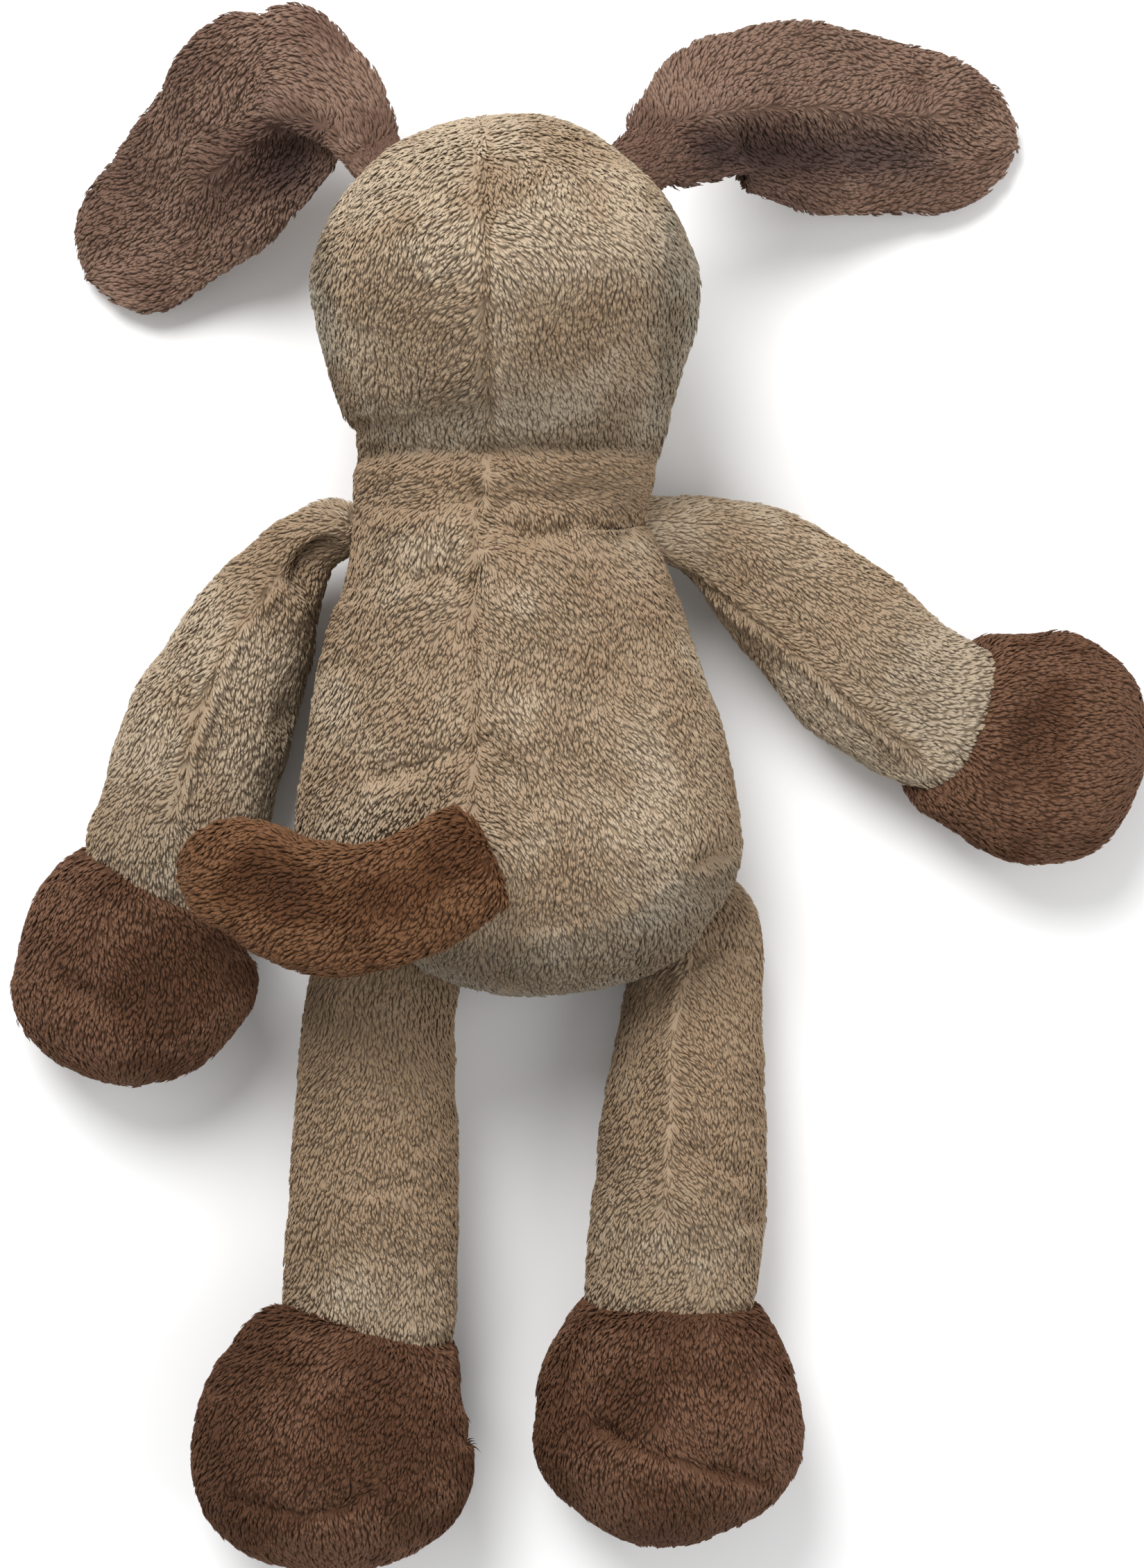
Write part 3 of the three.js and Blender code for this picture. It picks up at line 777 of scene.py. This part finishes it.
def make_muzzle():
    form = Form([
        [-15.5, 80.5, 18, 18, 16],
        [-15.5, 92, 18, 22, 18.5],
        [-15.5, 108, 18, 22, 18.5],
        [-15.5, 119, 18, 18, 16],
    ], 14, 14)

    def relief(points, normals, distance, angle):
        under = smooth(0.2, 0.6, -normals[..., 2])
        return 0.5 * lumps(points, 9, 44) + under * ridge(points, [[-15.5, 116], [-15.5, 88]], -1.4, 1.8)

    def down_the_muzzle(root, along):
        flow = np.zeros(root.shape)
        flow[:, 1] = -1
        return flow
    skin = Skin(form, 0, form.length, relief, spacing=1.4)
    cover("muzzle", [skin], combed(down_the_muzzle), BEIGE, "beige_plush", "head",
          ["muzzle_panel", "muzzle_stuffing"], 0.8, length=2.2,
          bare=[bare_spot("nose"), bare_spot("left_eye"), bare_spot("right_eye")])


# ---------------------------------------------------------------- ears

def ear_nodes(side):
    return [f"{side}_ear_outer_panel", f"{side}_ear_inner_panel", f"{side}_ear_wadding"]


def make_left_ear():
    """An arched strip comes out of the head; the leaf hangs from its far side over a dark hollow."""
    leaf = Form([
        [-58, 168, 37, 17, 4.5],
        [-69.3, 157, 36.5, 22, 5],
        [-79, 145.3, 28, 22, 5],
        [-91, 134.7, 16.5, 20.5, 4.6],
        [-102, 127, 8.5, 18.5, 4.4],
        [-113.5, 119.5, 5.5, 17, 4],
    ], 10, 15)
    strip = Form([
        [-45, 142.5, 44.5, 8, 4.2],
        [-48, 148.5, 43.8, 9.5, 4.5],
        [-54, 156, 41.5, 12, 4.8],
        [-64, 163, 39, 15, 4.8],
        [-74, 164, 36, 15, 4.2],
    ], 3, 10)
    arch = [[-84, 139], [-76, 145], [-66, 150], [-57, 149]]

    def leaf_relief(points, normals, distance, angle):
        depth = 0.9 * lumps(points, 17, 51) + 0.4 * lumps(points, 8, 52)
        top = facing_up(normals)
        depth += top * dent(points, (-64, 142.5, 34), 6, 8)
        return depth + top * ridge(points, arch, 1.6, 4.5)

    def strip_relief(points, normals, distance, angle):
        return 0.6 * lumps(points, 10, 53)

    def tint(points):
        """The hollow under the arch is in shade."""
        gap = np.linalg.norm(points[..., :2] - np.array([-65, 142.5]), axis=-1)
        return -0.2 * np.ones(gap.shape), np.exp(-((gap / 9) ** 2))
    skins = [Skin(leaf, 0, leaf.length, leaf_relief, spacing=1.4),
             Skin(strip, 0, strip.length, strip_relief, spacing=1.4)]
    nap = combed(with_the_form, [(arch, 1.2, 7)])
    cover("left_ear", skins, nap, EAR_BROWN, "brown_plush", "left_ear", ear_nodes("left"), 0.3, tint)
    make_sleeve("left_ear_root", [
        [-34, 128, 46, 6, 4.2], [-40, 136, 45, 7, 4.2], [-45, 143, 44.5, 8, 4.2], [-49, 150, 43.5, 9.2, 4.2],
    ], EAR_BROWN, "brown_plush")


def make_right_ear():
    """The ear lies out flat, with a ridge along it and a shaded valley below the ridge."""
    form = Form([
        [17, 141, 46, 9.5, 4.5],
        [26, 147.5, 42.5, 14.5, 4.5],
        [35, 153.5, 35, 19, 5],
        [50, 154.5, 24, 22.5, 5],
        [66, 154, 14.5, 22.5, 5],
        [82, 153, 8.5, 20.5, 4.5],
        [94, 151.5, 6, 17.5, 4.2],
        [104, 150.5, 5, 15, 4],
    ], 3, 15)
    crest = [[24, 150], [40, 153.5], [54, 156], [84, 155.5]]
    valley = [[30, 143], [56, 146.5], [80, 147], [94, 150]]

    def relief(points, normals, distance, angle):
        top = facing_up(normals)
        depth = 0.8 * lumps(points, 15, 54) + 0.4 * lumps(points, 7, 55)
        return depth + top * (ridge(points, crest, 2.4, 5) + ridge(points, valley, -2.6, 6))

    def tint(points):
        """The valley is in shade, and so is the root; the cloth above the crest catches the light."""
        gap, along, _ = path_distance(points, valley)
        lit = 0.35 * smooth(146, 152, points[..., 1])
        shade = 1.05 * np.exp(-((gap / 6.5) ** 2)) * smooth(1.0, 0.7, along)
        return 0.4 * smooth(30, 22, points[..., 0]) - lit, shade
    skin = Skin(form, 0, form.length, relief, spacing=1.4)
    nap = combed(with_the_form, [(crest, 1.0, 9)])
    cover("right_ear", [skin], nap, EAR_BROWN, "brown_plush", "right_ear", ear_nodes("right"), 0.3, tint)
    make_sleeve("right_ear_root", [
        [5, 131, 49, 7, 4.4], [12, 137, 47.5, 8.2, 4.4], [19, 142.5, 46, 9.2, 4.4], [26, 147.5, 43, 11, 4.2],
    ], EAR_BROWN, "brown_plush")


# ---------------------------------------------------------------- arms

def make_arm(side, stations, seam, cuff_sag, cuff_tilt, features, warm_at, paw_dark_at, nap):
    """A slack sleeve sewn to a round paw. The cuff seam sags towards the paw on top, and tilts."""
    form = Form(stations, 4, 25)
    wrist = form.marks[5]

    def cuff(angle):
        return wrist + cuff_sag * np.maximum(np.sin(angle), 0) + cuff_tilt * np.cos(angle)

    def relief(points, normals, distance, angle):
        past = distance - cuff(angle)
        pucker = 1 + 0.5 * lumps(points, 4, 14)
        depth = lumps(points, 18, 61) + 0.5 * lumps(points, 8, 62)
        depth -= 1.8 * pucker * np.exp(-((past / 2.2) ** 2))
        depth += 0.8 * np.exp(-(((past - 6) / 5) ** 2))
        depth += facing_up(normals) * ruffle(points, seam, 1.9, 1.9)
        for centre, deep, radius in features:
            depth += dent(points, centre, deep, radius)
        return depth

    def tint(points):
        """The cloth greys towards the cuff, has one warmer patch where its nap turns, and painted shade where
        the pile parts along its seam.
        """
        gap, warm_gap = (np.linalg.norm(points[..., :2] - np.array(at[:2]), axis=-1)
                         for at in (stations[5], warm_at))
        warmth_and_shade = 0.6 * np.exp(-((warm_gap / 14) ** 2)) - 0.25 + 0.6 * seam_shade(points, [seam])
        return warmth_and_shade, 0.45 * np.exp(-((gap / 22) ** 2))

    def paw_tint(points):
        """Darkest where the nap stands up, paler round the rim."""
        gap = np.linalg.norm(points[..., :2] - np.array(paw_dark_at), axis=-1)
        return 0.9 * np.exp(-((gap / 13) ** 2)) - 0.45, np.zeros(gap.shape)
    arm = Skin(form, 0, cuff, relief)
    paw = Skin(form, cuff, form.length, relief)
    cover(f"{side}_arm", [arm], nap, BEIGE, "beige_plush", f"{side}_arm",
          [f"{side}_arm_top_panel", f"{side}_arm_under_panel", f"{side}_arm_stuffing"], 0.6, tint)
    cover(f"{side}_paw", [paw], combed(with_the_form), BROWN, "brown_plush", f"{side}_arm",
          [f"{side}_paw_top_panel", f"{side}_paw_under_panel", f"{side}_paw_bean_pouch"], 0.7, paw_tint)


def make_arms():
    left_seam = [[-67, 47], [-78.6, 32], [-86, 13.8], [-91.4, -9]]
    make_arm("left", [
        [-48.5, 60, 27, 6, 10.5], [-61.5, 55, 24, 9.3, 12.5], [-71.5, 41, 21, 14.5, 15.5],
        [-80.5, 22, 18.5, 18.8, 18], [-87.5, 3, 18, 20.5, 18.5], [-95.5, -22, 18.5, 20.5, 18.5],
        [-100.2, -36, 19.3, 27.5, 19.6], [-101.3, -50, 19.5, 29.3, 20], [-101, -69.5, 19, 28, 20],
    ], left_seam, 3, -2.5, [
        ((-58.5, 49.5, 34), 8, 6.5), ((-113.5, -47.5, 36), 4.5, 4.5), ((-101.5, -53, 40), 3, 7),
        ((-64, 15, 28), 3.0, 5),
    ], (-62, 52), (-92, -46), combed(with_the_form, [(left_seam, 0.9, 4)]))
    right_seam = [[15, 55.5], [28.6, 48.5], [39, 40], [53, 28.5], [62.8, 19.6], [73.4, 12], [82, 3]]
    make_arm("right", [
        [10.5, 60.5, 27, 6.5, 10.5], [28, 57.8, 23.5, 9.7, 13], [41, 52, 20.5, 14.5, 16.5],
        [55, 40, 18.8, 18, 18], [68, 28.5, 18, 20, 18.5], [83.5, 17.5, 18, 20.3, 18.5],
        [105.5, 9.5, 19.5, 28, 20], [132.5, 6, 19, 28, 20],
    ], right_seam, 12, 0, [
        ((110, 10, 40), 5.0, 10), ((58, 41, 38), 2.5, 12), ((30, 62, 34), -2.0, 8),
    ], (56, 44), (106, 11), combed(with_the_form, [(right_seam, 1.1, 4)]))


# ---------------------------------------------------------------- legs

def make_leg(side, stations, warmth, ankle_sag, seams, wrinkles, sole_seam):
    """A leg sewn to a round foot, whose sole panel shows as a faint curved seam."""
    form = Form(stations, 4, 24)
    ankle = form.marks[5]

    def cuff(angle):
        return ankle + ankle_sag * np.maximum(np.sin(angle), 0)

    def relief(points, normals, distance, angle):
        top = facing_up(normals)
        past = distance - cuff(angle)
        pucker = 1 + 0.5 * lumps(points, 4, 15)
        depth = lumps(points, 19, 71) + 0.5 * lumps(points, 9, 72)
        depth -= 1.6 * pucker * np.exp(-((past / 2.2) ** 2))
        depth += top * ridge(points, sole_seam, -1.8, 2.0)
        depth += top * ridge(points, sole_seam, -1.2, 7)
        for path, height in seams:
            depth += top * ridge(points, path, height, 2.4)
        for path, deep in wrinkles:
            depth += top * ridge(points, path, -deep, 2.2)
        return depth

    def tint(points):
        """The cloth has a warmer tone, greys towards the cuff, and has painted shade along its seams and in
        its wrinkles.
        """
        gap = np.linalg.norm(points[..., :2] - np.array(stations[5][:2]), axis=-1)
        # Painted shade along the seams and in the wrinkles.
        seam_and_crease_shade = seam_shade(points, [path for path, _ in seams] + [path for path, _ in wrinkles])
        return warmth * smooth(10, 40, gap) + 0.8 * seam_and_crease_shade, 0.4 * np.exp(-((gap / 24) ** 2))

    def foot_tint(points):
        return seam_shade(points, [sole_seam]) - 0.1, np.zeros(points.shape[:-1])
    leg = Skin(form, 0, cuff, relief)
    foot = Skin(form, cuff, form.length, relief)
    leg_nap = combed(with_the_form, [(path, 0.8, 7) for path, _ in seams])
    cover(f"{side}_leg", [leg], leg_nap, BEIGE, "beige_plush", f"{side}_leg",
          [f"{side}_leg_back_panel", f"{side}_leg_front_panel", f"{side}_leg_stuffing"], 0.6, tint)
    cover(f"{side}_foot", [foot], combed(with_the_form, [(sole_seam, 0.8, 4)]), BROWN, "brown_plush",
          f"{side}_leg", [f"{side}_foot_heel_panel", f"{side}_foot_instep_panel", f"{side}_foot_sole",
                          f"{side}_foot_bean_pouch"], 0.8, foot_tint)


def make_legs():
    make_sleeve("left_hip", [
        [-37, -18, 22, 9, 8], [-41, -30, 17.5, 13, 10.5], [-43, -42, 15.5, 15.5, 12.5],
        [-44.5, -54, 16.5, 16, 14.5],
    ], BEIGE, "beige_plush")
    make_sleeve("right_hip", [
        [20, -8, 22, 8, 8], [25, -21, 18, 10.5, 9.5], [28, -33, 15.5, 13, 11], [28.6, -44, 16, 15, 13],
    ], BEIGE, "beige_plush")
    make_leg("left", [
        [-39, -26, 16, 12, 8], [-43, -44, 15, 17.4, 14], [-45, -60, 17, 18.6, 17],
        [-45.5, -80, 19, 19.5, 19], [-45.8, -101, 19, 20.5, 19.5], [-47, -124, 20, 21.8, 20.1],
        [-51.5, -138, 24, 29.5, 24.5], [-54.7, -151, 25.5, 33, 26], [-55.5, -181, 25, 33, 26],
    ], 1.1, 4.5, [([[-30.8, -131], [-31, -150]], -0.4)],
        [([[-36, -84], [-27, -75]], 1.6), ([[-50, -93], [-36, -90]], 1.0), ([[-44, -66], [-30, -62]], 0.9)],
        [[-80, -161], [-71, -163.5], [-61, -165.5], [-52, -163.5], [-43, -158]])
    make_leg("right", [
        [24, -19, 17, 7, 7], [29.8, -32, 14.5, 13.8, 12.5], [28.6, -48, 16, 17, 15.5],
        [26.6, -71, 19, 19.2, 19], [24.5, -97, 19, 21.3, 19.5], [22.8, -118, 20, 21.9, 20.1],
        [22.5, -134, 24, 29.3, 24.5], [22.3, -148, 25.5, 31.2, 26], [22, -174.5, 25, 31, 26],
    ], 0.75, 6.5, [([[26.5, -42], [22.5, -58], [22.5, -78], [21.2, -98]], 1.2)],
        [([[26.5, -82], [33, -86], [39.8, -90]], 1.8), ([[36, -98], [44, -101]], 1.2),
         ([[27, -40], [34, -37.5], [42, -39]], 2.4)],
        [[2.5, -143], [10.3, -147], [26, -152.5], [35, -155.5], [47, -159]])


# ---------------------------------------------------------------- tail

def make_tail():
    """A flat stuffed tube with a squarely sewn root, on a short neck of cloth that stands on the back."""
    form = Form([
        [-18, -15.2, 75, 13.2, 6.5],
        [-29, -21, 75, 14.5, 7.5],
        [-41, -26.5, 72, 15, 8],
        [-52, -27.8, 66.5, 15.4, 8],
        [-62, -25.5, 60.5, 15, 8],
        [-72, -21.5, 55, 14.2, 8],
        [-87.5, -17.5, 51, 11.5, 7.5],
    ], 2.2, 12)

    def relief(points, normals, distance, angle):
        return 0.9 * lumps(points, 13, 81) + 0.4 * lumps(points, 6, 82)
    skin = Skin(form, 0, form.length, relief, spacing=1.4, squareness=2.4)

    def across(root, along):
        """The nap runs along the tail and falls towards its lower edge."""
        flow = along.copy()
        flow[:, 1] -= 0.7
        return flow

    def tint(points):
        """Darkest along the middle, where the nap stands up."""
        gap, _, _ = path_distance(points, [[-24, -14], [-40, -24], [-54, -24], [-70, -19]])
        return 1.1 * np.exp(-((gap / 7) ** 2)) - 0.55, 0 * gap
    cover("tail", [skin], combed(across), TAIL_BROWN, "brown_plush", "tail",
          ["tail_top_panel", "tail_under_panel", "tail_stuffing"], 0.6, tint)

    stub_form = Form([[-25.5, -7, 70.5, 5, 9.5], [-22, -17, 71, 5.5, 10], [-19, -26, 70.5, 5, 9.5]], 5, 5)
    stub = Skin(stub_form, 0, stub_form.length, relief, spacing=1.2)
    for piece in cover_joint("tail_root", stub, stub, combed(across), TAIL_BROWN, "brown_plush", 0.6, tint,
                             length=1.8):
        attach(piece, "torso")


# ---------------------------------------------------------------- face

def rounded(name, node, material, power, relief=None):
    """A smooth moulded button that fills the box of the CAD node it stands for."""
    low, high = (np.array(corner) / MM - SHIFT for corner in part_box(node))
    centre, half = (low + high) / 2, (high - low) / 2
    rows, columns = 25, 48
    polar = np.linspace(0.02, math.pi - 0.02, rows)[:, None]
    turn = np.linspace(0, 2 * math.pi, columns, endpoint=False)[None, :]
    x = np.sin(polar) * np.cos(turn)
    y = np.sin(polar) * np.sin(turn)
    z = np.broadcast_to(-np.cos(polar), x.shape)
    ball = np.stack([x, y, z], axis=-1)
    ball = np.sign(ball) * np.abs(ball) ** power
    if relief is not None:
        ball = ball * relief(ball)[..., None]
    points = centre + ball * half
    ends = [points[0].mean(axis=0), points[-1].mean(axis=0)]
    faces = [face[:, ::-1] for face in grid_faces(rows, columns)]
    piece = mesh_object(name, np.concatenate([points.reshape(-1, 3), ends]), faces)
    finish_piece(piece, material)
    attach(piece, "head")
    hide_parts(node)
    return piece


def make_face():
    rounded("left_eye_button", "left_eye", GLOSS_BLACK, 1.0)
    rounded("right_eye_button", "right_eye", GLOSS_BLACK, 1.0)

    def nose_shape(ball):
        """Wider above than below, with two shallow nostrils."""
        taper = 1 + 0.12 * ball[..., 1]
        nostrils = sum(np.exp(-(((ball[..., 0] - s * 0.4) / 0.16) ** 2 + ((ball[..., 1] + 0.25) / 0.2) ** 2))
                       for s in (-1, 1))
        return taper / 1.12 - 0.08 * nostrils * (ball[..., 2] < 0)
    rounded("nose_button", "nose", GLOSS_BLACK, 0.9, nose_shape)
    for side in ("left", "right"):
        washer = frame["nodes"][f"{side}_eye_washer"]
        washer.data.materials.clear()
        washer.data.materials.append(WHITE_PLASTIC)


make_torso()
make_neck()
make_head()
make_muzzle()
make_left_ear()
make_right_ear()
make_arms()
make_legs()
make_tail()
make_face()

# ---------------------------------------------------------------- floor, light and camera

def make_stage():
    size = 3.0
    mesh = bpy.data.meshes.new("floor")
    corners = [(-size, -size, 0), (size, -size, 0), (size, size, 0), (-size, size, 0)]
    mesh.from_pydata(corners, [], [(0, 1, 2, 3)])
    floor = bpy.data.objects.new("floor", mesh)
    bpy.context.scene.collection.objects.link(floor)
    material = bpy.data.materials.new("floor")
    material.use_nodes = True
    material.node_tree.nodes["Principled BSDF"].inputs["Base Color"].default_value = (0.9, 0.9, 0.9, 1)
    material.node_tree.nodes["Principled BSDF"].inputs["Roughness"].default_value = 0.9
    mesh.materials.append(material)


def area_light(name, position, size, power):
    data = bpy.data.lights.new(name, "AREA")
    data.shape = "DISK"
    data.size = size
    data.energy = power
    light = bpy.data.objects.new(name, data)
    light.location = position
    light.rotation_euler = (-Vector(position)).to_track_quat("-Z", "Y").to_euler()
    bpy.context.scene.collection.objects.link(light)


def make_lights():
    """A key light from the upper left and a weaker fill from the right, in metres and watts."""
    area_light("key", (-0.35, 0.75, 1.0), 0.7, 17)
    area_light("fill", (0.9, -0.2, 0.9), 1.0, 6)
    world = bpy.data.worlds.new("studio")
    world.use_nodes = True
    world.node_tree.nodes["Background"].inputs["Color"].default_value = (1, 1, 1, 1)
    world.node_tree.nodes["Background"].inputs["Strength"].default_value = 0.6
    bpy.context.scene.world = world


def make_camera():
    """Straight above the dog, head up in the picture, framed to its outline."""
    height = 1000 * MM
    middle_height = 25 * MM
    picture_height = 361.8 * MM
    data = bpy.data.cameras.new("camera")
    data.sensor_fit = "VERTICAL"
    data.sensor_height = 36
    data.lens = 36 * (height - middle_height) / picture_height
    camera = bpy.data.objects.new("camera", data)
    camera.location = (SHIFT[0] * MM, SHIFT[1] * MM, height)
    bpy.context.scene.collection.objects.link(camera)
    bpy.context.scene.camera = camera


make_stage()
make_lights()
make_camera()
bpy.context.scene.view_settings.view_transform = "Standard"
